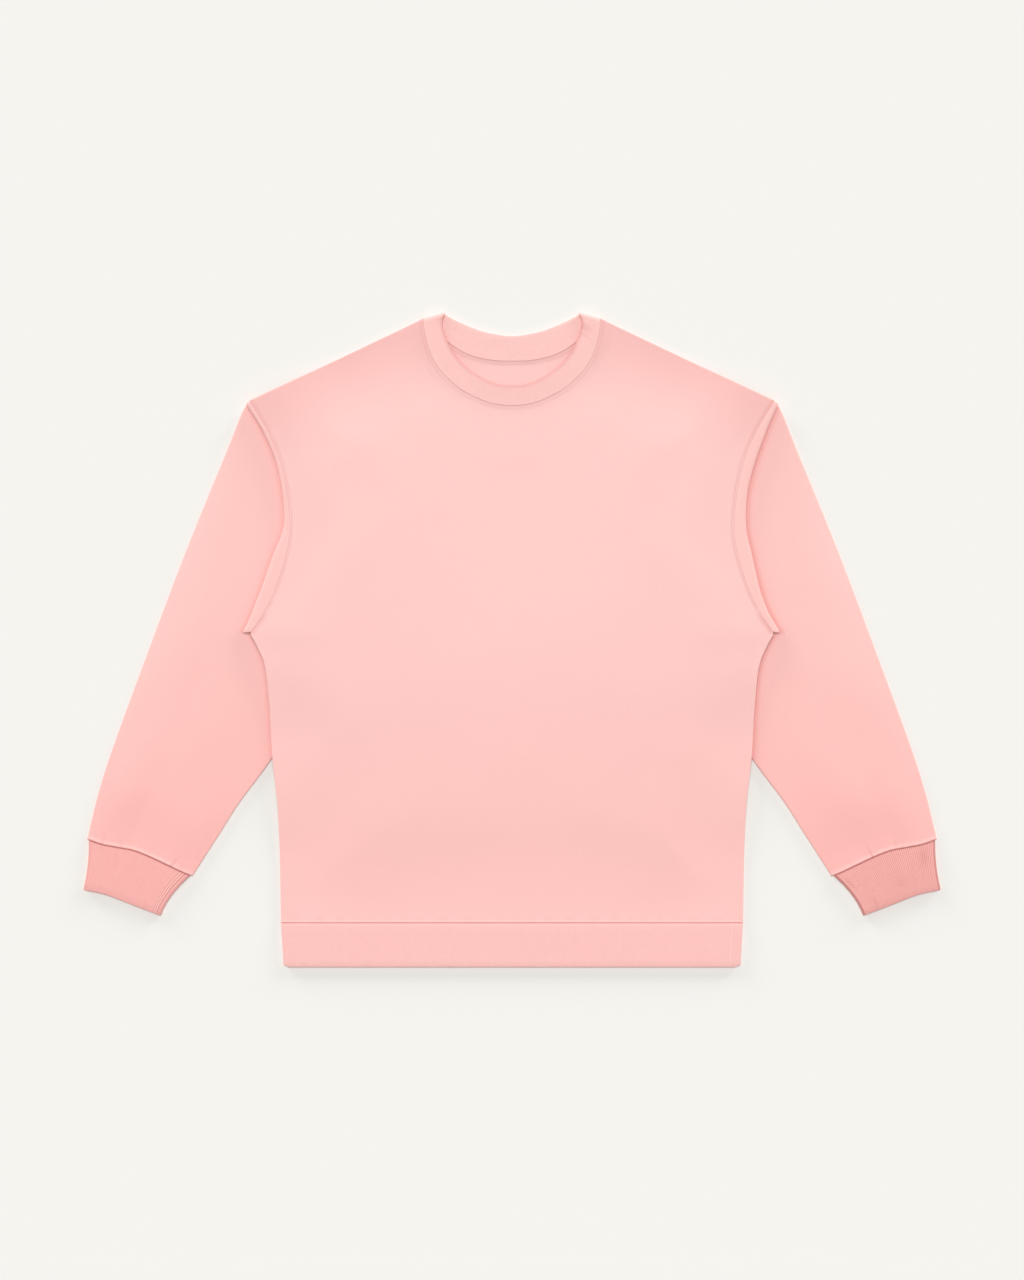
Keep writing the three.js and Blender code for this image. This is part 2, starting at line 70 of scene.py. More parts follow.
def mix(a: np.ndarray | float, b: np.ndarray | float, s: np.ndarray | float) -> np.ndarray:
    """The value a share s of the way from a to b."""
    return a + (b - a) * s


def ease(s: np.ndarray | float) -> np.ndarray:
    """A smooth step: 3 s squared less 2 s cubed, held between 0 and 1."""
    c = np.clip(s, 0, 1)
    return c * c * (3 - 2 * c)


def unit(v: np.ndarray) -> np.ndarray:
    """Vectors along the last axis, brought to length 1."""
    return v / np.maximum(np.linalg.norm(v, axis=-1, keepdims=True), 1e-12)


def spline(points: list[tuple[float, float]], count: int) -> np.ndarray:
    """A smooth plan curve through a few points, evenly spaced.

    Formula: on each stretch the Catmull-Rom cubic of its two ends and their neighbours, then the
    same curve read again at equal steps of its length.

    Args:
        points: the x and y of each point, in order.
        count: how many points to give back.

    Returns:
        An array of count rows of x and y.
    """
    p = np.array(points, float)
    q = np.vstack([p[:1], p, p[-1:]])
    s = np.linspace(0, 1, 40, endpoint=False)[None, :, None]
    a, b, c, d = (q[k : k + len(p) - 1, None, :] for k in range(4))
    bend = 2 * b + (c - a) * s + (2 * a - 5 * b + 4 * c - d) * s**2 + (3 * b - a - 3 * c + d) * s**3
    fine = np.vstack([(bend / 2).reshape(-1, 2), p[-1:]])
    run = np.concatenate([[0], np.cumsum(np.linalg.norm(np.diff(fine, axis=0), axis=1))])
    at = np.linspace(0, run[-1], count)
    return np.stack([np.interp(at, run, fine[:, k]) for k in (0, 1)], 1)


def whole_curve(half: list[tuple[float, float]], count: int) -> np.ndarray:
    """A symmetrical curve from its right half, which ends on the middle line. It starts on the left."""
    return spline([(-x, y) for x, y in half] + half[-2::-1], count)


def read_table(rows: tuple[tuple[float, float], ...], y: np.ndarray) -> np.ndarray:
    """The x of a table of (y, x) rows at each y.

    Formula: the cubic between two rows whose slope at a row is that between its two neighbours.
    """
    table = np.array(rows, float)
    ys, xs = table[:, 0], table[:, 1]
    low = np.maximum(np.arange(len(ys)) - 1, 0)
    high = np.minimum(np.arange(len(ys)) + 1, len(ys) - 1)
    slope = (xs[high] - xs[low]) / (ys[high] - ys[low])
    i = np.clip(np.searchsorted(ys, y) - 1, 0, len(ys) - 2)
    span = ys[i + 1] - ys[i]
    s = np.clip((y - ys[i]) / span, 0, 1)
    bend = s * (1 - s) * span * ((1 - s) * slope[i] - s * slope[i + 1])
    return mix(xs[i], xs[i + 1], s * s * (3 - 2 * s)) + bend


def crowded(length: np.ndarray | float, count: int, edge: float = 0.4, growth: float = 1.25) -> np.ndarray:
    """Places along lengths that crowd towards both ends.

    Formula: from each end 13 steps that start at edge and grow by a constant factor, and count even
    places over what is left.

    Args:
        length: one length, or an array of them.
        count: how many even places there are.
        edge: the first step.
        growth: how many times longer each step is than the one before.

    Returns:
        A column of places for each length.
    """
    long = np.atleast_1d(np.asarray(length, float))[None, :]
    near = edge * (growth ** np.arange(CROWD) - 1)[:, None] / (growth - 1) * np.ones_like(long)
    share = np.linspace(0, 1, count + 2)[1:-1, None]
    return np.vstack([near, mix(near[-1:], long - near[-1:], share), (long - near)[::-1]])


def bell(distance: np.ndarray, at: float, half_width: float) -> np.ndarray:
    """A bell curve of height 1 about a distance."""
    return np.exp(-(((distance - at) / half_width) ** 2))


# Meshes


def faces_between(rows: np.ndarray, loop: bool) -> np.ndarray:
    """Four-sided faces between neighbouring rows of point numbers, closed round when they are loops."""
    r = np.hstack([rows, rows[:, :1]]) if loop else rows
    return np.stack([r[:-1, :-1], r[:-1, 1:], r[1:, 1:], r[1:, :-1]], -1).reshape(-1, 4)


@dataclass
class Piece:
    """One cut piece as a closed mesh: its points in millimetres, faces, cloth map and painted shade."""

    name: str
    points: np.ndarray
    faces: np.ndarray
    cloth: np.ndarray
    painted_shade: np.ndarray

    def build(self) -> bpy.types.Object:
        """Makes the object, with its faces pointing out, a cloth map in metres and an attribute of painted
        shade.
        """
        p = self.points * MM
        a, b, c, d = (p[self.faces[:, k]] for k in range(4))
        volume = np.einsum("ij,ij->i", a, np.cross(b, c) + np.cross(c, d)).sum()
        faces = self.faces if volume > 0 else self.faces[:, ::-1]
        mesh = bpy.data.meshes.new(self.name)
        mesh.vertices.add(len(p))
        mesh.vertices.foreach_set("co", p.astype(np.float32).ravel())
        mesh.loops.add(faces.size)
        mesh.loops.foreach_set("vertex_index", faces.astype(np.int32).ravel())
        mesh.polygons.add(len(faces))
        mesh.polygons.foreach_set("loop_start", np.arange(0, faces.size, 4, dtype=np.int32))
        mesh.update(calc_edges=True)
        mesh.shade_smooth()
        layer = mesh.uv_layers.new(name="cloth")
        layer.uv.foreach_set("vector", (self.cloth * MM)[faces.ravel()].astype(np.float32).ravel())
        painted_shade = mesh.attributes.new("painted_shade", "FLOAT", "POINT")
        painted_shade.data.foreach_set("value", self.painted_shade.astype(np.float32))
        mesh.validate()
        item = bpy.data.objects.new(self.name, mesh)
        bpy.context.scene.collection.objects.link(item)
        return item


def shell(name: str, top: np.ndarray, bottom: np.ndarray, cloth: np.ndarray, painted_shade: np.ndarray) -> Piece:
    """A sheet closed round its edge.

    Args:
        name: the piece's name.
        top: the upper surface, rows by columns by x, y and z.
        bottom: the lower surface on the same grid, which meets the upper one all round its edge.
        cloth: the place in the cloth of each grid point.
        painted_shade: how much painted shade each upper point has in seams and creases, with painted
            highlight below 0.

    Returns:
        The closed piece.
    """
    rows, columns = top.shape[:2]
    upper = np.arange(rows * columns).reshape(rows, columns)
    lower = upper.copy()
    inside = (slice(1, -1), slice(1, -1))
    count = (rows - 2) * (columns - 2)
    lower[inside] = upper.size + np.arange(count).reshape(rows - 2, columns - 2)
    points = np.vstack([top.reshape(-1, 3), bottom[inside].reshape(-1, 3)])
    faces = np.vstack([faces_between(upper, False), faces_between(lower, False)[:, ::-1]])
    flat = np.vstack([cloth.reshape(-1, 2), cloth[inside].reshape(-1, 2)])
    return Piece(name, points, faces, flat, np.concatenate([painted_shade.ravel(), painted_shade[inside].ravel()]))


def tube(name: str, outer: np.ndarray, inner: np.ndarray, cloth: np.ndarray, painted_shade: np.ndarray) -> Piece:
    """A tube of cloth open at both ends, from rings of its outer and inner skins, one for one."""
    rings, around = outer.shape[:2]
    out = np.arange(rings * around).reshape(rings, around)
    hollow = out + out.size
    ends = [np.stack([hollow[0], out[0]]), np.stack([out[-1], hollow[-1]])]
    faces = [faces_between(out, True), faces_between(hollow, True)[:, ::-1]]
    faces += [faces_between(pair, True) for pair in ends]
    points = np.vstack([outer.reshape(-1, 3), inner.reshape(-1, 3)])
    flat = np.vstack([cloth.reshape(-1, 2)] * 2)
    return Piece(name, points, np.vstack(faces), flat, np.concatenate([painted_shade.ravel(), painted_shade.ravel()]))


# Finishes


class Sum:
    """A number or colour socket in a node tree, on which arithmetic adds Math nodes."""

    def __init__(self, graph: "Graph", socket: bpy.types.NodeSocket) -> None:
        """Holds a socket and the graph that it is in."""
        self.graph = graph
        self.socket = socket

    def _with(self, operation: str, first: "Sum | float", second: "Sum | float") -> "Sum":
        """The outcome of one Math node on two values."""
        return self.graph.node("ShaderNodeMath", {"operation": operation}, {0: first, 1: second})

    def __add__(self, other: "Sum | float") -> "Sum":
        """This value plus another."""
        return self._with("ADD", self, other)

    def __sub__(self, other: "Sum | float") -> "Sum":
        """This value less another."""
        return self._with("SUBTRACT", self, other)

    def __mul__(self, other: "Sum | float") -> "Sum":
        """This value times another."""
        return self._with("MULTIPLY", self, other)

    def __rsub__(self, other: float) -> "Sum":
        """A number less this value."""
        return self._with("SUBTRACT", other, self)

    __radd__ = __add__
    __rmul__ = __mul__

    def fraction(self) -> "Sum":
        """The part of this value past its whole number."""
        return self.graph.node("ShaderNodeMath", {"operation": "FRACT"}, {0: self})

    def size(self) -> "Sum":
        """This value without its sign."""
        return self.graph.node("ShaderNodeMath", {"operation": "ABSOLUTE"}, {0: self})

    def sine(self) -> "Sum":
        """The sine of this value in radians."""
        return self.graph.node("ShaderNodeMath", {"operation": "SINE"}, {0: self})


class Graph:
    """A material's node tree, filled through one method."""

    def __init__(self, name: str) -> None:
        """Starts a material of that name with an empty node tree."""
        self.material = bpy.data.materials.new(name)
        self.material.use_nodes = True
        self.tree = self.material.node_tree
        self.tree.nodes.clear()

    def node(self, kind: str, settings: dict, inputs: dict, output: str | int = 0) -> Sum:
        """Adds a node.

        Args:
            kind: the node's type.
            settings: its own properties.
            inputs: a value or another node's socket for each named or numbered input.
            output: the output that is given back.

        Returns:
            That output.
        """
        made = self.tree.nodes.new(kind)
        for key, value in settings.items():
            setattr(made, key, value)
        for key, value in inputs.items():
            if isinstance(value, Sum):
                self.tree.links.new(value.socket, made.inputs[key])
            else:
                made.inputs[key].default_value = value
        return Sum(self, made.outputs[output])

    def blend(self, share: Sum | float, one: Sum | tuple, other: Sum | tuple) -> Sum:
        """A colour between two, by share."""
        return self.node("ShaderNodeMix", {"data_type": "RGBA"}, {0: share, 6: one, 7: other}, 2)

    def noise(self, place: Sum, scale: float, detail: float) -> Sum:
        """Soft noise from about 0.3 to 0.7, scale to the metre."""
        inputs = {"Vector": place, "Scale": scale, "Detail": detail}
        return self.node("ShaderNodeTexNoise", {"noise_dimensions": "3D"}, inputs, 0)

    def finish(self, shader: Sum) -> bpy.types.Material:
        """Joins a shader to the surface and gives the material back."""
        end = self.tree.nodes.new("ShaderNodeOutputMaterial")
        self.tree.links.new(shader.socket, end.inputs["Surface"])
        return self.material


@dataclass(frozen=True)
class Knit:
    """The finish of knitted cloth: its colours, how uneven they are, and the size of its stitches."""

    name: str
    colour: tuple[float, float, float]
    # painted shade: the colour the cloth darkens to lower down, between the two heights below
    painted_low_shade: tuple[float, float, float]
    # the colour of painted shade in seams, creases and rib valleys
    painted_shade: tuple[float, float, float]
    # the heights in metres at which that painted shade starts and is full
    shade_from: float = 0.12
    shade_to: float = -0.3
    # the colour of painted highlight beside seams
    painted_highlight: tuple[float, float, float] = (0.98, 0.63, 0.59)
    mottle: float = 0.035
    wale: float = 1.15
    course: float = 0.85
    stitch_height: float = 0.00009
    fuzz_height: float = 0.00012
    roughness: float = 0.92
    fuzz_scale: float = 1400.0
    cloud_scale: float = 7.0
    speck_scale: float = 300.0

    def material(self) -> bpy.types.Material:
        """Builds the finish.

        Formula of the stitches: along each wale a wave whose phase moves on towards both sides, so
        that its crests are small Vs, less a groove between two wales, plus fine fuzz.
        """
        g = Graph(self.name)
        coordinates = g.node("ShaderNodeTexCoord", {}, {}, "Object")
        cloth = g.node("ShaderNodeUVMap", {"uv_map": "cloth"}, {}, 0)
        u = g.node("ShaderNodeSeparateXYZ", {}, {0: cloth}, 0)
        v = g.node("ShaderNodeSeparateXYZ", {}, {0: cloth}, 1)
        beside = ((u * (1 / (self.wale * MM))).fraction() - 0.5).size()
        crest = ((v * (1 / (self.course * MM)) + beside) * (2 * np.pi)).sine()
        stitches = crest * 0.35 - beside * beside * 3.2
        fuzz = g.noise(coordinates, self.fuzz_scale, 2.0)
        painted_shade = g.node("ShaderNodeAttribute", {"attribute_name": "painted_shade"}, {}, "Fac")
        # painted shade that darkens the cloth lower down, with random clouds of tone
        high = g.node("ShaderNodeSeparateXYZ", {}, {0: coordinates}, 1)
        spread = {"From Min": self.shade_from, "From Max": self.shade_to, "Value": high}
        shade_share = g.node("ShaderNodeMapRange", {"interpolation_type": "SMOOTHSTEP"}, spread, 0)
        clouds = (g.noise(coordinates, self.cloud_scale, 2.0) - 0.5) * 0.35
        body = g.blend(shade_share + clouds, (*self.colour, 1), (*self.painted_low_shade, 1))
        # random flecks of tone, and painted shade in the gaps between the wales
        specks_and_wale_shade = (g.noise(coordinates, self.speck_scale, 3.0) - 0.5) * 4.0 + beside * 1.4 - 0.3
        body = g.blend(specks_and_wale_shade * self.mottle, body, (*self.painted_shade, 1))
        # painted shade in seams and creases from the attribute, and painted highlight where it is below 0
        colour = g.blend(painted_shade, g.blend(0.0 - painted_shade, body, (*self.painted_highlight, 1)), (*self.painted_shade, 1))
        height = stitches * self.stitch_height + fuzz * self.fuzz_height
        bump = g.node("ShaderNodeBump", {}, {"Strength": 1.0, "Distance": 1.0, "Height": height})
        shader = g.node(
            "ShaderNodeBsdfPrincipled",
            {},
            {
                "Base Color": colour,
                "Roughness": self.roughness,
                "Normal": bump,
                "Specular IOR Level": 0.25,
                "Sheen Weight": 0.12,
                "Sheen Roughness": 0.6,
            },
        )
        return g.finish(shader)


FLEECE = Knit("fleece_jersey", (0.9, 0.548, 0.516), (0.92, 0.52, 0.489), (0.72, 0.28, 0.26))
# the body's fleece with more painted shade, darker on the sleeves and most of all lower down
SHADED_SLEEVE_FLEECE = Knit("sleeve_fleece", (0.91, 0.532, 0.498), (0.925, 0.467, 0.435), (0.72, 0.28, 0.26))
RIB = Knit("rib_knit", (0.905, 0.54, 0.503), (0.895, 0.505, 0.476), (0.68, 0.27, 0.25), wale=1.05)
CUFF_RIB = Knit("cuff_rib_knit", (0.9, 0.445, 0.415), (0.89, 0.435, 0.405), (0.5, 0.17, 0.15), wale=1.05)


# The garment's plan and heights


@dataclass
class BodyPlan:
    """The body's outline, the layers folded under it, and how high its panels lie."""

    fleece: float = 1.4
    seam_gap: float = 0.3
    layer_step: float = 4.0
    hem_y: float = -302.4
    armpit_y: float = 7.5
    shoulder: tuple[float, float] = (280.3, 255.4)
    neck_point: tuple[float, float] = (94.0, 344.0)
    neck_radius: float = 93.6
    hem_height: float = 3.9
    collar_height: float = 4.3
    loft: float = 3.4
    ramp_start: float = 26.0
    edge_ramp: float = 85.0
    ramp_length: float = 230.0
    edge_width: float = 120.0
    # rows of y and half the body's width there
    side: tuple = (
        (-302.4, 246.9),
        (-218, 248.5),
        (-171, 251),
        (-126, 256),
        (-60, 260),
        (-25, 264.5),
        (-6, 272.5),
        (7.5, 280),
    )
    armhole: tuple = (
        (7.5, 280),
        (30, 264.5),
        (62, 250),
        (105, 238.5),
        (140, 238.3),
        (186, 246.2),
        (222, 260.5),
        (255.4, 280.3),
    )
    run_under: tuple = ((285, 256), (164, -4), (255, -132), (330, -132), (330, 256))
    pleat_under: tuple = ((285, 256), (164, -4), (290, 4))

    def half(self, y: np.ndarray) -> np.ndarray:
        """Half the body's width at height y."""
        return np.where(y < self.armpit_y, read_table(self.side, y), read_table(self.armhole, y))

    @staticmethod
    def outside(outline: tuple, x: np.ndarray, y: np.ndarray) -> np.ndarray:
        """How far points lie outside a convex outline.

        Formula: a soft maximum, with rounded corners, of how far they lie outside each edge.
        """
        corners = np.array(outline, float)
        edge = unit(np.roll(corners, -1, axis=0) - corners)
        rounding = 12
        over = [((x - c[0]) * e[1] - (y - c[1]) * e[0]) / rounding for c, e in zip(corners, edge)]
        return rounding * np.logaddexp.reduce(over, axis=0)

    def lift(self, x: np.ndarray, y: np.ndarray, slack: float) -> np.ndarray:
        """How high the sleeve layers under the body hold it.

        Formula: a step for each layer, off which the cloth comes down on a soft ramp, short at the
        panel's edges and long inside them. The ramps of the two sides are put together as 1 less
        the product of what each leaves free.

        Args:
            x: the places across the body.
            y: the places along it.
            slack: 1 for the front, which lies over on long ramps, and 0 for the back, which keeps
                to short ones and so lies on the surface between the sleeves.

        Returns:
            The height at each place.
        """
        edges = [self.from_side(x, y), self.from_shoulder(x, y), y - self.hem_y, self.from_neck(x, y)]
        inside = slack * ease(np.minimum.reduce(edges) / self.edge_width)
        high = np.zeros_like(x)
        for outline in (self.run_under, self.pleat_under):
            off = [self.outside(outline, sign * x, y) - self.ramp_start for sign in (1, -1)]
            short, long = (ease(off[0] / r) * ease(off[1] / r) for r in (self.edge_ramp, self.ramp_length))
            high = high + self.layer_step * (1 - mix(short, long, inside))
        return high

    def from_side(self, x: np.ndarray, y: np.ndarray) -> np.ndarray:
        """How far points lie inside the body's side, measured level."""
        return self.half(np.minimum(y, self.shoulder[1])) - np.abs(x)

    def from_neck(self, x: np.ndarray, y: np.ndarray) -> np.ndarray:
        """How far points lie outside a circle that stands for the neckline."""
        return np.hypot(x, y - self.neck_point[1]) - self.neck_radius

    def from_shoulder(self, x: np.ndarray, y: np.ndarray) -> np.ndarray:
        """How far points lie below the shoulder seam."""
        a, b = np.array(self.shoulder), np.array(self.neck_point)
        along = unit(b - a)
        return (a[1] - y) * -along[0] + (a[0] - np.abs(x)) * along[1]

    def front_height(self, x: np.ndarray, y: np.ndarray) -> np.ndarray:
        """The height of the front panel's middle layer.

        Formula: the lift of the sleeves, the back panel and a gap, a swell that dies away at the
        seams, and soft folds, all drawn to the rib's own height along the hem and the neckline.
        """
        base = self.lift(x, y, 1) + 1.5 * self.fleece + self.seam_gap
        from_side, from_neck = self.from_side(x, y), self.from_neck(x, y)
        from_hem, from_shoulder = y - self.hem_y, self.from_shoulder(x, y)
        inner = ease(from_side / 90) * ease(from_shoulder / 110)
        swell = self.loft * inner * mix(0.34, 1, ease(from_hem / 120)) * mix(0.45, 1, ease(from_neck / 60))
        soft = self.folds(x, y) * ease(from_side / 25) * ease(from_hem / 30) * ease(from_neck / 30)
        height = base + swell + soft * ease(from_shoulder / 25)
        height = mix(self.collar_height, height, ease(from_neck / 16))
        at_hem = ease(from_side / 36) * (1 - ease(from_hem / 34))
        return mix(height, self.hem_height, at_hem)

    @staticmethod
    def folds(x: np.ndarray, y: np.ndarray) -> np.ndarray:
        """Soft folds: each a ridge, or a trough where its rise is negative.

        Formula: the rise, falling off as a bell with the distance from the fold's line, over its width.
        """
        rows = (
            # x, y of one end, x, y of the other, half width, rise
            (-248, 20, -150, 118, 24, 0.5),
            (-246, -20, -168, -86, 22, 0.4),
            (-232, 60, -176, 168, 20, -0.3),
            (250, 14, 160, 96, 24, 0.5),
            (250, -34, 180, -120, 22, 0.4),
            (236, 84, 186, 186, 20, -0.3),
            (-60, -40, -34, -196, 34, 0.4),
            (84, 30, 112, -118, 34, 0.4),
            (-150, -180, -128, -268, 24, 0.4),
            (158, -170, 140, -262, 24, 0.35),
            (-30, 168, 60, 150, 30, -0.3),
        )
        total = np.zeros_like(x)
        for x0, y0, x1, y1, width, rise in rows:
            dx, dy = x1 - x0, y1 - y0
            s = np.clip(((x - x0) * dx + (y - y0) * dy) / (dx * dx + dy * dy), 0, 1)
            off = np.hypot(x - x0 - s * dx, y - y0 - s * dy)
            total = total + rise * np.exp(-((off / width) ** 2))
        return total


PLAN = BodyPlan()


def dress(item: bpy.types.Object, node: str, finish: bpy.types.Material) -> None:
    """Gives a piece its finish, lets it ride on the body and stand for its solid."""
    item.data.materials.append(finish)
    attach(item, "root")
    if node:
        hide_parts(node)
    LOG.info("%s: %d faces", item.name, len(item.data.polygons))


@dataclass
class Panels:
    """The front and the back of the body."""

    plan: BodyPlan
    finish: bpy.types.Material
    round_off: float = 0.8
    side_columns: int = 118
    hem_columns: int = 156
    rows: int = 78
    front_neck: tuple = (
        (94, 344),
        (93.5, 331.3),
        (87.6, 307.8),
        (76.6, 288.6),
        (58.8, 270.9),
        (39.5, 259.7),
        (20.3, 252.6),
        (0, 250.6),
    )
    back_neck: tuple = ((94, 344), (78, 327), (60.9, 313.1), (44.9, 304.6), (22, 299.2), (0, 298.2))

    def grid(self, neck: tuple) -> tuple[np.ndarray, np.ndarray, np.ndarray]:
        """The plan of a panel, as rays that fan out from the neckline.

        Formula: each ray goes straight from a place on the neckline to the place with the same share
        of the outline from one shoulder tip round the hem to the other. The two shoulder seams are
        the first ray and the last.

        Args:
            neck: the right half of the panel's neckline.

        Returns:
            The x and the y of each grid point, and its distance along the ray from the neckline.
        """
        plan = self.plan
        y = np.linspace(plan.shoulder[1], plan.hem_y, 500)
        left = np.column_stack([-plan.half(y), y])
        hem = np.column_stack([np.linspace(-left[-1, 0], left[-1, 0], 100)[::-1], np.full(100, plan.hem_y)])
        outline = np.vstack([left, hem[1:-1], left[::-1] * (-1, 1)])
        inner = whole_curve(list(neck), 600)
        steps = [np.linalg.norm(np.diff(c, axis=0), axis=1) for c in (outline, inner)]
        runs = [np.concatenate([[0], np.cumsum(step)]) for step in steps]
        corner = runs[0][len(left) - 1]
        near = crowded(runs[0][-1], 1)[:CROWD, 0]
        ramp = np.linspace(near[-1], corner, self.side_columns)[1:]
        across = np.linspace(corner, runs[0][-1] - corner, self.hem_columns)[1:-1]
        out = np.concatenate([near, ramp, across, runs[0][-1] - ramp[::-1], runs[0][-1] - near[::-1]])
        share = (out - near[-1]) / (runs[0][-1] - 2 * near[-1])
        into = mix(near[-1], runs[1][-1] - near[-1], share)
        into[:CROWD] = near
        into[-CROWD:] = runs[1][-1] - near[::-1]
        far = np.stack([np.interp(out, runs[0], outline[:, k]) for k in (0, 1)], 1)
        start = np.stack([np.interp(into, runs[1], inner[:, k]) for k in (0, 1)], 1)
        long = np.linalg.norm(far - start, axis=1)
        along = crowded(long, self.rows)
        grid = start + (far - start) * (along / long)[..., None]
        return grid[..., 0], grid[..., 1], along

    def sheet(self, name: str, neck: tuple, front: bool) -> bpy.types.Object:
        """One panel, rounded off all round its edge.

        Formula: half the cloth's thickness times the root of 1 less the square of the share of the
        rounding still to go, above and below the middle layer. Where the edge is sewn to the collar
        or a sleeve the middle layer rises by what the thickness loses, so the top stays level.
        """
        plan = self.plan
        x, y, from_neck = self.grid(neck)
        middle = plan.front_height(x, y) if front else plan.lift(x, y, 0) + plan.fleece / 2
        # the side leans, so its true distance is a little under the level one
        lean = 0.96
        from_side = lean * plan.from_side(x, y)
        from_hem = y - plan.hem_y
        from_shoulder = plan.from_shoulder(x, y)
        edge = np.minimum.reduce([from_side, from_hem, from_shoulder, 2 * from_neck])
        left = 1 - np.clip(edge / self.round_off, 0, 1)
        thick = plan.fleece / 2 * np.sqrt(np.clip(1 - left**2, 0, 1))
        beside_armhole = np.where(y > plan.armpit_y, from_side, FAR_AWAY)
        seams = (
            # distance from the seam, how dark its painted shade is, how strong the painted highlight beside
            # it is
            (from_hem, 0.6, 0.6),
            (beside_armhole, 0.55, 0),
            (from_neck, 0.1, 0),
        )
        painted_shade = np.zeros_like(x)
        for distance, dark, highlight in seams:
            painted_shade = painted_shade + dark * bell(distance, 0, 0.8) - highlight * bell(distance, 1.9, 0.8)
        clearer = np.where(x > 0, 1.5, 1.0)
        rows = clearer * bell(beside_armhole, 2.6, 0.7) + bell(from_neck, 3.9, 0.7)
        puckers = bell(from_hem, 3, 2.5) * np.sin(x / 3.1 + 2 * np.sin(x / 23))
        # painted shade along the stitch rows, stronger on the wearer's left, on the puckers at the hem and
        # over the shoulders
        painted_shade = painted_shade + 0.3 * rows + 0.12 * puckers + 0.26 * (1 - ease(from_shoulder / 90))
        dip = 0.2 * rows + 0.12 * puckers
        joined = np.minimum(beside_armhole, 2 * from_neck) <= edge + 1e-6
        middle = middle + joined * (plan.fleece / 2 - thick)
        top = np.stack([x, y, middle + thick - dip], -1)
        bottom = np.stack([x, y, middle - thick], -1)
        return shell(name, top, bottom, np.stack([x, y], -1), painted_shade).build()

    def build(self) -> list[bpy.types.Object]:
        """Makes and dresses the two panels."""
        front = self.sheet("front_panel", self.front_neck, True)
        dress(front, "front", self.finish)
        back = self.sheet("back_panel", self.back_neck, False)
        dress(back, "back", self.finish)
        return [front, back]


@dataclass
class Rings:
    """Rings of a flattened tube: mid lines, the way up to the upper wall, and out past each crease."""

    line: np.ndarray
    up: np.ndarray
    out: np.ndarray

    def skin(self, half: float, raised: np.ndarray, turn: int) -> np.ndarray:
        """One skin of the tube.

        Formula: the upper wall is the mid line moved up by half and by what is raised, the lower one
        is it moved down by half, and each crease is a half circle of that radius between them.
        """
        up = self.up[:, None, :]
        upper = self.line + up * (half + raised[..., None])
        lower = (self.line - up * half)[:, ::-1]
        angle = np.linspace(np.pi / 2, -np.pi / 2, turn + 2)[1:-1][None, :, None]
        creases = []
        for end, place in ((1, -1), (0, 0)):
            way = self.out[:, end][:, None, :]
            middle = self.line[:, place][:, None, :]
            creases.append(middle + half * (way * np.cos(angle) + up * np.sin(angle)))
        return np.concatenate([upper, creases[0], lower, creases[1][:, ::-1]], axis=1)


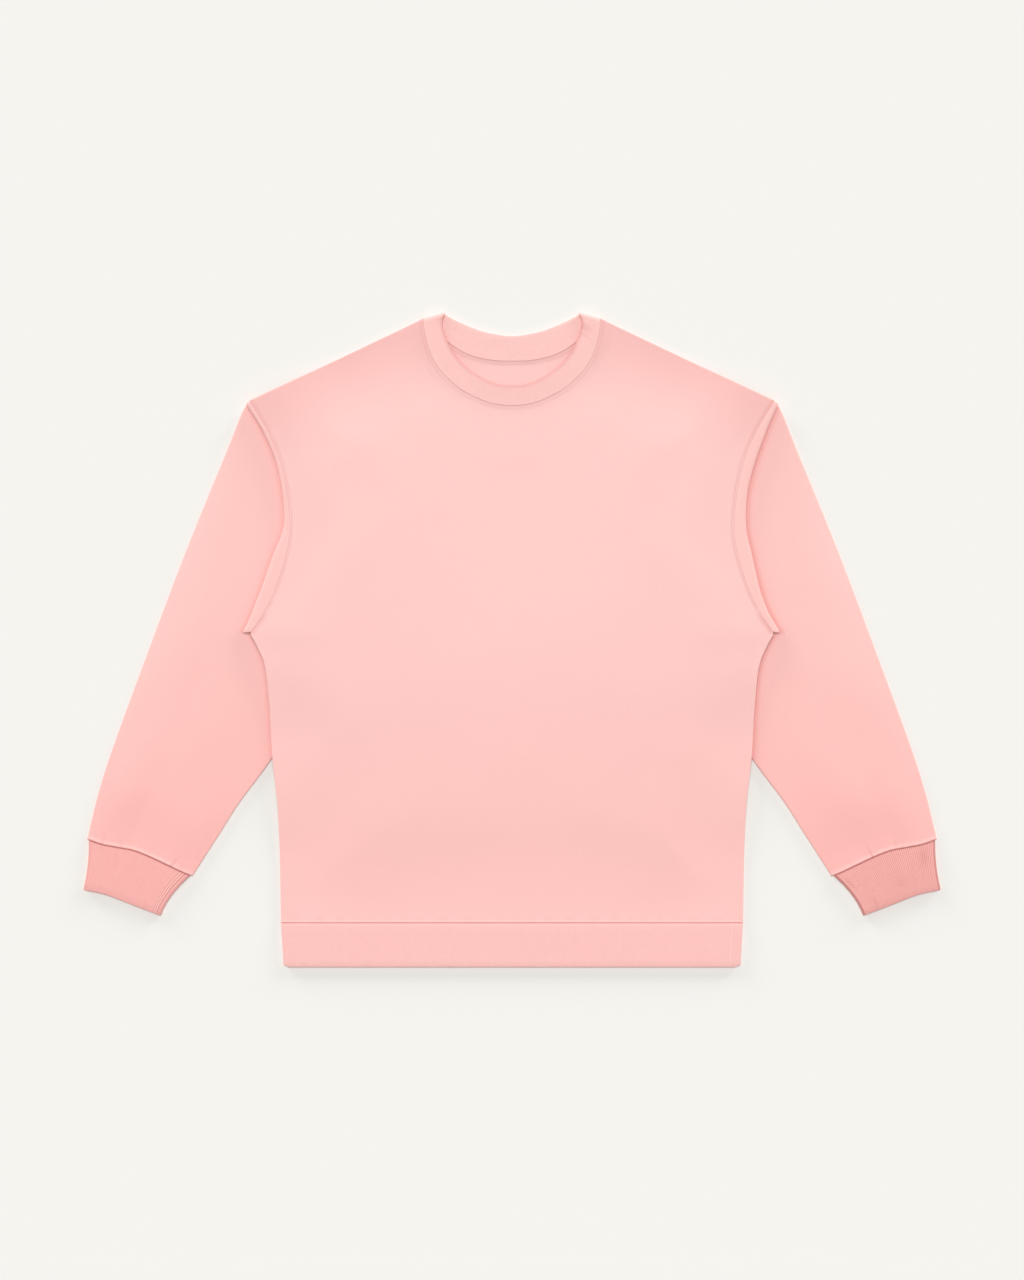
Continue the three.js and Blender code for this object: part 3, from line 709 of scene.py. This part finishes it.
@dataclass
class Sleeve:
    """A sleeve: a strip beside the armhole, a pleat folded under the body, and the run to the cuff."""

    plan: BodyPlan
    side: Side
    finish: bpy.types.Material
    across: int = 104
    along: int = 130
    bend_steps: int = 10
    hollow: float = 0.15
    gap: float = 0.03
    loft: float = 4.6
    shoulder_slope: float = 1.9
    arm_turn: float = 0.37
    body_reach: float = 284.0
    leaves_body_y: float = -128.0
    crease_steps: int = 7
    fold_left: tuple = (
        (7.5, 7),
        (42, 10.5),
        (90, 15),
        (122, 12.8),
        (155, 11.1),
        (190, 12.4),
        (219, 11),
        (255.4, 4.5),
    )
    fold_right: tuple = (
        (7.5, 8),
        (42, 14.6),
        (90, 14),
        (122, 6.5),
        (155, 5),
        (190, 5),
        (219, 5),
        (255.4, 4.5),
    )
    # small creases at the cuff seam: the share of the way across, the depth and the lean
    ticks = {
        Side.LEFT: ((0.4, 1.7, 0.1), (0.62, 0.5, -0.3), (0.93, 0.5, 0.2), (0.2, 0.3, 0.3)),
        Side.RIGHT: (
            (0.87, 0.8, 0.1),
            (0.2, 1.1, 0.2),
            (0.1, 0.8, -0.3),
            (0.45, 0.4, 0.4),
            (0.7, 0.3, -0.2),
        ),
    }
    # how dark and how broad the shade is where the sleeve goes under the body
    shade = {Side.LEFT: (0.6, 4.2), Side.RIGHT: (0.36, 3.0)}
    top_crease: tuple = (
        (270, 247.5),
        (283.4, 250.2),
        (308, 191.8),
        (349.5, 89.3),
        (388, -13.3),
        (425.4, -115.9),
        (441.5, -167.2),
        (452.7, -213.6),
    )
    under_crease: tuple = (
        (171, -3),
        (257, -125.1),
        (292, -172.1),
        (313.3, -205.4),
        (334.6, -238.5),
        (343, -252),
    )
    cuff_seam: tuple = (
        (343, -252),
        (352.2, -248.4),
        (368.7, -240.5),
        (384.7, -233),
        (403.4, -225.5),
        (423.2, -221.6),
        (439.2, -218.4),
        (452.7, -213.6),
    )

    def reach(self, y: np.ndarray) -> np.ndarray:
        """How far the strip's fold lies past the armhole seam at height y."""
        return read_table(self.fold_left if self.side is Side.LEFT else self.fold_right, y)

    def rings(self) -> Rings:
        """All rings from the armhole to the cuff, for the side of positive x.

        Formula: level rings on the strip, half circles in the plane of x and z at its two folds, and
        on the run a surface stretched between its two creases, the inner fold and the cuff seam.
        """
        half = self.plan.fleece + self.hollow
        bend = self.plan.layer_step / 2
        run, pleat, strip = (half + k * self.plan.layer_step for k in range(3))
        t = np.linspace(0, 1, self.across)
        y = mix(self.plan.armpit_y + half, self.plan.shoulder[1] - half, t)
        seam_x = self.plan.half(y)
        reach = np.maximum(self.reach(y), self.gap + bend + half + self.plan.seam_gap)
        fold = np.stack([seam_x + reach - bend - half, y - self.shoulder_slope * ease((y - 200) / 54)], 1)
        armhole = np.stack([seam_x + self.gap, y], 1)
        inner = mix(np.array(self.under_crease[0]), np.array(self.top_crease[0]), t[:, None])
        lines, ups, outs = [], [], []

        def add(plan: np.ndarray, height: float, up: tuple, shift: float = 0.0) -> None:
            """Adds one ring at a height, moved sideways by shift."""
            lines.append(np.column_stack([plan[:, 0] + shift, plan[:, 1], np.full(len(plan), height)]))
            ups.append(up)
            ends = [unit(plan[0] - plan[1]), unit(plan[-1] - plan[-2])]
            outs.append([[*e, 0] for e in ends] if up[0] == 0 else [[0, -1, 0], [0, 1, 0]])

        for s in (0, 0.06, 0.15, 0.3, 0.5, 0.75, 1):
            add(mix(armhole, fold, s), strip, (0, 0, 1))
        angles = np.linspace(0, np.pi, self.bend_steps)[1:-1]
        for a in angles:
            add(fold, pleat + bend + bend * np.cos(a), (np.sin(a), 0, np.cos(a)), bend * np.sin(a))
        for s in (0, 0.5, 1):
            add(mix(fold, inner, s), pleat, (0, 0, -1))
        for a in angles:
            add(inner, run + bend + bend * np.cos(a), (np.sin(a), 0, -np.cos(a)), -bend * np.sin(a))
        top, under = spline(list(self.top_crease), 900), spline(list(self.under_crease), 900)
        seam = spline(list(self.cuff_seam), self.across)
        shares = np.linspace(0, 1, 900)
        start, end = mix(under[0], top[0], t[:, None]), mix(under[-1], top[-1], t[:, None])
        for u in crowded(1, self.along, 0.0012)[:, 0]:
            ends = [np.array([np.interp(u, shares, c[:, k]) for k in (0, 1)]) for c in (under, top)]
            straight = mix(*ends, t[:, None])
            add(straight + (1 - u) * (inner - start) + u * (seam - end), run, (0, 0, 1))
        return Rings(np.array(lines), np.array(ups, float), np.array(outs, float))

    def raised(self, rings: Rings, run: float) -> np.ndarray:
        """How far the upper wall stands over its flat place.

        Formula: a swell that starts clear of the body's edge and dies away at both creases, with soft
        folds across the arm and small gathers at the cuff seam, and a dip into that seam.
        """
        x, y, z = (rings.line[..., k] for k in range(3))
        t = np.linspace(0, 1, self.across)[None, :]
        on_run = z < run + 1
        free = ease((x - self.body_reach) / 70) * on_run
        crown = 1 - (2 * t - 1) ** 4
        from_cuff = np.linalg.norm(rings.line[-1][None] - rings.line, axis=-1)
        slack = mix(0.35, 1, ease(from_cuff / 70))
        phase = 0.9 if self.side is Side.LEFT else 2.3
        across_arm = x * 0.39 + y * 0.92
        drag = np.sin(across_arm / 26 + phase + 1.6 * t) * np.sin(across_arm / 61 + 2 * phase)
        along_arm = 0.7 * np.exp(-(((t - 0.62 - 0.04 * np.sin(y / 60)) / 0.1) ** 2))
        gathers = 0.16 * np.sin(t * 76 + 3 * np.sin(9 * t + phase)) * np.exp(-from_cuff / 8)
        for place, depth, lean in self.ticks[self.side]:
            crease = bell(t + lean * from_cuff / 100, place, 0.011) * np.exp(-from_cuff / 7)
            gathers = gathers - depth * crease
        soft = (self.loft * slack + 0.7 * drag - along_arm) * crown * free
        roll = 0.4 * bell(from_cuff, 2.2, 1.5) - 0.8 * np.clip(1 - from_cuff / 1.1, 0, 1) ** 2
        return np.maximum(soft + gathers * crown * on_run + roll * on_run, -1.0)

    def build(self) -> bpy.types.Object:
        """Makes and dresses the sleeve."""
        rings = self.rings()
        half = self.plan.fleece + self.hollow
        raised = self.raised(rings, half)
        outer = rings.skin(half, raised, self.crease_steps)
        inner = rings.skin(self.hollow, np.maximum(raised, 0), self.crease_steps)
        c, s = np.cos(self.arm_turn), np.sin(self.arm_turn)
        cloth = np.stack([outer[..., 0] * c + outer[..., 1] * s, outer[..., 1] * c - outer[..., 0] * s], -1)
        from_armhole = np.linalg.norm(outer - outer[:1], axis=-1)
        from_cuff = np.linalg.norm(outer - outer[-1:], axis=-1)
        # painted shade in the cuff seam, and painted highlight beside it and at the armhole
        painted_shade = 0.9 * bell(from_cuff, 0, 0.8) - 0.4 * bell(from_armhole, 0, 0.8)
        painted_shade = painted_shade - 0.55 * bell(from_cuff, 2.4, 1.1)
        level = np.clip(outer[..., 1], self.plan.armpit_y, self.plan.shoulder[1])
        over = self.plan.half(np.minimum(outer[..., 1], level)) + self.reach(level)
        body_edge = np.where(outer[..., 1] > self.plan.armpit_y, over, self.plan.half(outer[..., 1]))
        # the shade lies on the run only, below the strip, and ends where the arm leaves the body
        below_strip = 5 * half
        on_run = (outer[..., 2] < below_strip) & (outer[..., 1] > self.leaves_body_y)
        dark, broad = self.shade[self.side]
        painted_shade = painted_shade + dark * on_run * bell(outer[..., 0] - body_edge, 0.5, broad)
        # painted shade in the small creases at the cuff seam
        share = np.full(outer.shape[1], 9.0)
        share[: self.across] = np.linspace(0, 1, self.across)
        for place, depth, lean in self.ticks[self.side]:
            crease = bell(share + lean * from_cuff / 100, place, 0.009) * np.exp(-((from_cuff / 9) ** 2))
            painted_shade = painted_shade + 0.4 * depth * crease
        sign = np.array([self.side.value, 1, 1])
        name = "sleeve_" + self.side.name.lower()
        item = tube(name + "_cloth", outer * sign, inner * sign, cloth, painted_shade).build()
        dress(item, name, self.finish)
        return item


@dataclass
class Band:
    """Doubled rib carried along a path, with a folded edge, a seam edge and ribs across it.

    Each station has a place on the seam edge, one on the folded edge and the way out of the cloth.
    Its lines are how much painted shade each station has, with painted highlight below 0. Its spots
    are painted shade in soft creases: along the seam, across the band, how long, how broad and how dark.
    """

    name: str
    seam: np.ndarray
    fold: np.ndarray
    out: np.ndarray
    ribs: np.ndarray
    lines: np.ndarray | float = 0.0
    spots: tuple = ()
    bow: np.ndarray | None = None
    thickness: float = 2 * RIB_HALF
    seam_round: float = 0.5
    # painted shade in the rib valleys, the seam, the folded edge and a stitch row, with painted highlight
    # beside the seam and wherever a value is below 0
    valley_shade: float = 0.1
    seam_dark: float = 0.1
    seam_highlight: float = 0.0
    fold_dark: np.ndarray | float = 0.0
    row_dark: np.ndarray | float = 0.0

    def build(self) -> bpy.types.Object:
        """Makes the band as a closed ring.

        Formula: round each station runs a flat profile with half-round ends, half the thickness to
        each side, and the side that looks up also has the station's rib height. The bow moves the
        middle of a station, less and less towards both its edges, as a parabola.
        """
        half, sewn = self.thickness / 2, self.seam_round
        wide = np.linalg.norm(self.fold - self.seam, axis=1)
        way = unit(self.fold - self.seam)
        flats = np.concatenate([np.linspace(0, 3, 4), np.linspace(6, 100, 7)]) / 100
        turn = np.linspace(np.pi / 2, -np.pi / 2, 7)[1:-1]
        flat = sewn + flats * (wide - half - sewn)[:, None]
        folded = (wide - half)[:, None] + half * np.cos(turn)
        sewn_edge = np.broadcast_to(sewn - sewn * np.cos(turn[::-1]), folded.shape)
        place = np.hstack([flat, folded, flat[:, ::-1], sewn_edge])
        level, rounded = np.full(len(flats), half), half * np.sin(turn)
        rise = np.tile(np.concatenate([level, rounded, -level, rounded[::-1]]), (len(wide), 1))
        faces_up = np.where(self.out[:, 2:3] >= 0, 1, -1)
        shown = np.clip(rise * faces_up / half, 0, 1)
        rise = rise + faces_up * shown * self.ribs[:, None]
        points = self.seam[:, None] + way[:, None] * place[..., None] + self.out[:, None] * rise[..., None]
        share = place / wide[:, None]
        if self.bow is not None:
            points = points + self.bow[:, None] * (4 * share * (1 - share))[..., None]
        run = np.concatenate([[0], np.cumsum(np.linalg.norm(np.diff(self.seam, axis=0), axis=1))])
        there_and_back = np.minimum(run, run[-1] - run)
        cloth = np.stack(np.broadcast_arrays(there_and_back[:, None], place), -1)
        # painted shade at the seam, the fold, a stitch row, the lines and the creases, with painted
        # highlight where it is below 0
        near = self.seam_dark * bell(place, 0, 0.8) - self.seam_highlight * bell(place, 1.9, 0.9)
        darks = (self.fold_dark, self.row_dark, self.lines)
        at_fold, at_row, at_line = (np.broadcast_to(dark, run.shape)[:, None] for dark in darks)
        near = near + at_fold * bell(place, wide[:, None], 1.5) + at_row * bell(place, 4.2, 0.8)
        near = near + at_line * shown
        for along, across, long, broad, dark in self.spots:
            near = near + dark * bell(run[:, None], along, long) * bell(place, across, broad) * shown
        # painted shade in the rib valleys
        valley_shade = self.valley_shade * (1 - self.ribs / max(self.ribs.max(), 0.01))[:, None] * shown
        numbers = np.arange(place.size).reshape(place.shape)
        faces = faces_between(np.vstack([numbers, numbers[:1]]), True)
        painted_shade = np.clip(near + valley_shade, -1, 1).ravel()
        return Piece(self.name, points.reshape(-1, 3), faces, cloth.reshape(-1, 2), painted_shade).build()


def rib_height(count: int, samples: int, relief: float) -> np.ndarray:
    """The height of count ribs side by side: a wave with broad crests and narrow valleys."""
    phase = np.linspace(0, count, count * samples + 1)
    return relief * np.sqrt(np.abs(np.sin(np.pi * phase)))


def tube_band(name: str, seam: np.ndarray, fold: np.ndarray, ribs: np.ndarray, plain: int) -> Band:
    """A flattened tube of doubled rib, from the plan of its upper wall.

    Args:
        name: the piece's name.
        seam: the upper wall's stations on the seam edge, crease to crease, in plan.
        fold: the same on the folded edge.
        ribs: each station's rib height.
        plain: how many even stations the lower wall has between its crowded ends.

    Returns:
        The band, which turns over at both creases and comes back below.
    """
    half, radius, turn = RIB_HALF, 1.35, TURN_ANGLES
    picks = crowded(len(seam) - 1, plain, 1.0, 1.2)[::-1, 0].round().astype(int)
    heights = np.concatenate(
        [
            np.full(len(seam), half + 2 * radius),
            half + radius + radius * np.cos(turn),
            np.full(len(picks), half),
            half + radius - radius * np.cos(turn),
        ]
    )
    built = []
    for edge in (seam, fold):
        way = [unit(edge[-1] - edge[-40]), unit(edge[0] - edge[39])]
        round_end = edge[-1] + radius * np.sin(turn)[:, None] * way[0]
        round_start = edge[0] + radius * np.sin(turn)[:, None] * way[1]
        plan = np.vstack([edge, round_end, edge[picks], round_start])
        built.append(np.column_stack([plan, heights]))
    ends = [unit(seam[-1] - seam[-2]), unit(seam[0] - seam[1])]
    flat = [np.tile((0.0, 0.0, 1.0), (len(seam), 1)), np.tile((0.0, 0.0, -1.0), (len(picks), 1))]
    turns = [
        np.column_stack([np.sin(turn)[:, None] * ends[0], np.cos(turn)]),
        np.column_stack([np.sin(turn)[:, None] * ends[1], -np.cos(turn)]),
    ]
    out = np.vstack([flat[0], turns[0], flat[1], turns[1]])
    high = np.concatenate([ribs, np.zeros(len(out) - len(ribs))])
    return Band(name, built[0], built[1], out, high)


@dataclass
class RibPieces:
    """The collar, the two cuffs and the hem band."""

    plan: BodyPlan
    rib: bpy.types.Material
    cuff_rib: bpy.types.Material
    relief: float = 0.4
    low_relief: float = 0.2
    seam_gap: float = 0.1
    hem_corner: float = 1.5
    hem_join: float = 0.9636
    cuff_bow: tuple[float, float] = (4.2, -1.8)
    cuff_span: tuple[float, float] = (0.03, 0.975)
    cuff_shift: tuple[float, float] = (0.1, -0.24)
    cuff_width: float = 105.0
    collar_gap: float = 0.03
    collar_stand: float = 0.6
    pitch: float = 2.1
    hem_fold_y: float = -349.7
    hem_fold_half: float = 244.2
    cuff_ribs: int = 50
    front_ribs: int = 138
    back_ribs: int = 76
    crease_room: float = 2.55
    front_edge: tuple = (
        (71.4, 347.8),
        (74, 341),
        (73.7, 334),
        (70.5, 323.3),
        (63.1, 307.8),
        (49, 291.8),
        (24, 276.5),
        (0, 272.3),
    )
    back_edge: tuple = ((71.4, 347.8), (55.6, 339.9), (34.2, 331.3), (12.8, 326.5), (0, 325.4))
    cuff_opening: tuple = ((378, -293.9), (406.7, -282.8), (433.9, -272.4), (455.9, -267.6))

    def hem(self) -> bpy.types.Object:
        """The hem band, pulled in a little towards its folded edge."""
        count = round(2 * self.plan.half(np.array(self.plan.hem_y)).item() / self.pitch)
        samples = 6
        s = np.linspace(-1, 1, count * samples + 1)
        seam_half = self.plan.side[0][1] - self.crease_room
        fold_half = self.hem_fold_half - self.crease_room
        seam = np.column_stack([s * seam_half, np.full_like(s, self.plan.hem_y - self.seam_gap)])
        corner = self.hem_corner * np.clip(1 - (1 - np.abs(s)) * fold_half / 4, 0, 1) ** 2
        fold = np.column_stack([s * fold_half, self.hem_fold_y + corner])
        band = tube_band("hem_band", seam, fold, rib_height(count, samples, self.low_relief), 60)
        # painted shade and painted highlight along the side join
        off = (s - self.hem_join) * seam_half
        join = 0.12 * bell(off, 1.2, 0.8) + 0.1 * bell(off, -1.2, 0.8) - 0.5 * bell(off, 0, 0.7)
        band.lines = np.concatenate([join, np.zeros(len(band.ribs) - len(join))])
        # painted shade in the rib valleys and the seam, and painted highlight beside the seam
        band.valley_shade, band.seam_dark, band.seam_highlight = 0.05, 0.6, 0.5
        item = band.build()
        dress(item, "hem_rib", self.rib)
        return item

    def cuff(self, side: Side) -> bpy.types.Object:
        """A cuff, narrower than the sleeve's end and drawn in towards the wrist."""
        samples = 7
        t = np.linspace(0, 1, self.cuff_ribs * samples + 1)
        sleeve_end = spline(list(Sleeve.cuff_seam), 400)
        near = mix(*self.cuff_span, t)
        seam = np.stack([np.interp(near, np.linspace(0, 1, 400), sleeve_end[:, k]) for k in (0, 1)], 1)
        seam = seam + self.cuff_shift
        fold = spline(list(self.cuff_opening), len(t))
        left = side is Side.LEFT
        relief = self.relief if left else self.low_relief
        band = tube_band("cuff", seam, fold, rib_height(self.cuff_ribs, samples, relief), 40)
        band.bow = np.zeros_like(band.out)
        bow = mix(*self.cuff_bow, t)
        turns = len(TURN_ANGLES)
        others = len(band.ribs) - len(t) - 2 * turns
        turn_over, turn_back = np.full(turns, bow[-1]), np.full(turns, bow[0])
        below = mix(bow[-1], bow[0], np.linspace(0, 1, others))
        band.bow[:, 0] = np.concatenate([bow, turn_over, below, turn_back])
        if left:
            # painted shade in soft creases
            band.spots = (
                (98, 14, 5, 8, 0.2),
                (5, 15, 2.5, 3.5, 0.45),
                (62, 34, 12, 5, 0.12),
                (20, 44, 2, 4, 0.2),
            )
        else:
            joins = (
                # how far across, half width, how dark its painted shade is, with painted highlight below 0
                (3.2, 0.6, 0.8),
                (4.6, 0.6, -0.7),
                (6.0, 0.5, 0.6),
                (7.4, 0.6, -0.5),
                (8.8, 0.5, 0.4),
            )
            join = sum(dark * bell(t * self.cuff_width, place, broad) for place, broad, dark in joins)
            band.lines = np.concatenate([join, np.zeros(len(band.ribs) - len(t))])
        # painted shade in the rib valleys and in the seam
        band.valley_shade, band.seam_dark = (0.7 if left else 0.25), 0.8
        item_name = "cuff_" + side.name.lower()
        sign = np.array([side.value, 1, 1])
        band.name = item_name + "_band"
        band.seam, band.fold, band.out = band.seam * sign, band.fold * sign, band.out * sign
        band.bow = band.bow * sign
        item = band.build()
        dress(item, item_name, self.cuff_rib)
        return item

    def collar(self) -> bpy.types.Object:
        """The collar: its front stands a little at the folded edge, and it turns over at the shoulders.

        Formula: along the front and back halves the two edges follow the neck seam and the folded
        edge, and at each shoulder they turn under on a half circle.
        """
        samples, start = 6, 0.011
        half, radius, turn = RIB_HALF, (self.plan.collar_height - RIB_HALF) / 2, TURN_ANGLES
        stations = []
        for ribs, edge, neck, high, up in (
            (self.front_ribs, self.front_edge, Panels.front_neck, self.plan.collar_height, 1.0),
            (self.back_ribs, self.back_edge, Panels.back_neck, half, -1.0),
        ):
            s = np.linspace(0, 1, ribs * samples + 1)
            fold = whole_curve(list(edge), len(s))
            line = whole_curve(list(neck), 900)
            at = np.interp(mix(start, 1 - start, s), np.linspace(0, 1, 900), np.arange(900))
            seam = np.stack([np.interp(at, np.arange(900), line[:, k]) for k in (0, 1)], 1)
            seam = seam + unit(fold - seam) * self.collar_gap
            stand = self.collar_stand * np.sin(np.pi * s) if up > 0 else np.zeros_like(s)
            out = np.tile((0.0, 0.0, up), (len(s), 1))
            stations.append(
                (
                    np.column_stack([seam, np.full_like(s, high)]),
                    np.column_stack([fold, high + stand]),
                    out,
                    rib_height(ribs, samples, self.low_relief),
                )
            )
        front, back = stations
        back = tuple(a[::-1] for a in back)
        halves = []
        for (one, other), side in (((front, back), 1), ((back, front), -1)):
            angle = turn if side > 0 else np.pi - turn
            reach = np.array([side * 0.1, 0.995])
            share = ((1 - np.cos(turn)) / 2)[:, None]
            high = half + radius + radius * np.cos(angle)
            edges = []
            for k in (0, 1):
                plan = mix(one[k][-1, :2], other[k][0, :2], share) + radius * np.sin(angle)[:, None] * reach
                edges.append(np.column_stack([plan, high]))
            out = np.column_stack([np.sin(angle)[:, None] * reach, np.cos(angle)])
            halves.append((*edges, out, np.zeros(len(turn))))
        order = [front, halves[0], back, halves[1]]
        seam, fold, out, ribs = (np.concatenate([part[k] for part in order]) for k in range(4))
        band = Band("collar_band", seam, fold, out, ribs)
        # a fold and its shade where the collar turns over at the wearer's left shoulder
        long = np.linalg.norm(np.diff(front[0], axis=0), axis=1).sum()
        band.spots = ((long - 15, 17, 5, 8, 0.28), (long - 24, 18, 1.2, 12, 0.2), (5, 20, 2, 6, 0.25))
        # little painted shade in the rib valleys, and a painted highlight in the seam
        band.valley_shade, band.seam_dark = 0.05, -0.3
        at_front = np.arange(len(ribs)) < len(front[0])
        # painted shade at the front's folded edge and along a stitch row on the back
        band.fold_dark = np.where(at_front, 0.8, 0.0)
        band.row_dark = np.where(at_front, 0.0, 0.3)
        band.seam_round = 0.25
        item = band.build()
        dress(item, "collar", self.rib)
        return item

    def build(self) -> None:
        """Makes and dresses the four bands."""
        self.hem()
        self.collar()
        for side in Side:
            self.cuff(side)


# The studio


@dataclass
class Studio:
    """A pale floor, soft light and the camera straight above."""

    floor_colour: tuple[float, float, float] = (0.8, 0.79, 0.757)
    view_height: float = 1.368
    lens: float = 100.0
    sensor: float = 36.0
    cloth_height: float = 0.004
    floor_half: float = 60.0
    floor_drop: float = 0.0002

    def floor(self) -> None:
        """The plain surface that the garment lies on."""
        mesh = bpy.data.meshes.new("floor")
        r = self.floor_half
        mesh.from_pydata([(-r, -r, 0), (r, -r, 0), (r, r, 0), (-r, r, 0)], [], [(0, 1, 2, 3)])
        item = bpy.data.objects.new("floor", mesh)
        bpy.context.scene.collection.objects.link(item)
        g = Graph("floor_paper")
        inputs = {"Base Color": (*self.floor_colour, 1), "Roughness": 1.0, "Specular IOR Level": 0.0}
        mesh.materials.append(g.finish(g.node("ShaderNodeBsdfPrincipled", {}, inputs)))
        item.location = (0, 0, -self.floor_drop)

    @staticmethod
    def sun(name: str, azimuth: float, elevation: float, spread: float, strength: float) -> None:
        """An even light from far away.

        Args:
            name: the light's name.
            azimuth: the side that it comes from, in degrees from +X towards +Y.
            elevation: how high it stands, in degrees.
            spread: how wide it looks, in degrees, which softens its shadows.
            strength: its power for each square metre.
        """
        data = bpy.data.lights.new(name, "SUN")
        data.angle = np.radians(spread)
        data.energy = strength
        item = bpy.data.objects.new(name, data)
        a, e = np.radians((azimuth, elevation))
        way = Vector((np.cos(a) * np.cos(e), np.sin(a) * np.cos(e), np.sin(e)))
        item.rotation_euler = (-way).to_track_quat("-Z", "Y").to_euler()
        bpy.context.scene.collection.objects.link(item)

    def build(self) -> None:
        """Sets up the floor, lights, world and camera."""
        self.floor()
        self.sun("overhead", 96, 80, 26, 2.12)
        self.sun("far_low_left", 132, 10, 20, 1.5)
        self.sun("far_low_right", 48, 10, 20, 1.5)
        world = bpy.data.worlds.new("soft_room")
        world.use_nodes = True
        sky = world.node_tree.nodes["Background"]
        sky.inputs["Color"].default_value = (1.0, 0.995, 0.985, 1)
        sky.inputs["Strength"].default_value = 0.32
        scene = bpy.context.scene
        scene.world = world
        scene.view_settings.view_transform = "Standard"
        data = bpy.data.cameras.new("camera")
        data.lens = self.lens
        data.sensor_width = self.sensor
        camera = bpy.data.objects.new("camera", data)
        camera.location = (0, 0, self.view_height * self.lens / self.sensor + self.cloth_height)
        scene.collection.objects.link(camera)
        scene.camera = camera


def main() -> None:
    """Builds the garment piece by piece, then the studio round it."""
    logging.basicConfig(level=logging.INFO, format="%(name)s: %(message)s")
    fleece = FLEECE.material()
    sleeve_fleece = SHADED_SLEEVE_FLEECE.material()
    Panels(PLAN, fleece).build()
    for side in Side:
        Sleeve(PLAN, side, sleeve_fleece).build()
    RibPieces(PLAN, RIB.material(), CUFF_RIB.material()).build()
    Studio().build()


if __name__ == "__main__":
    main()
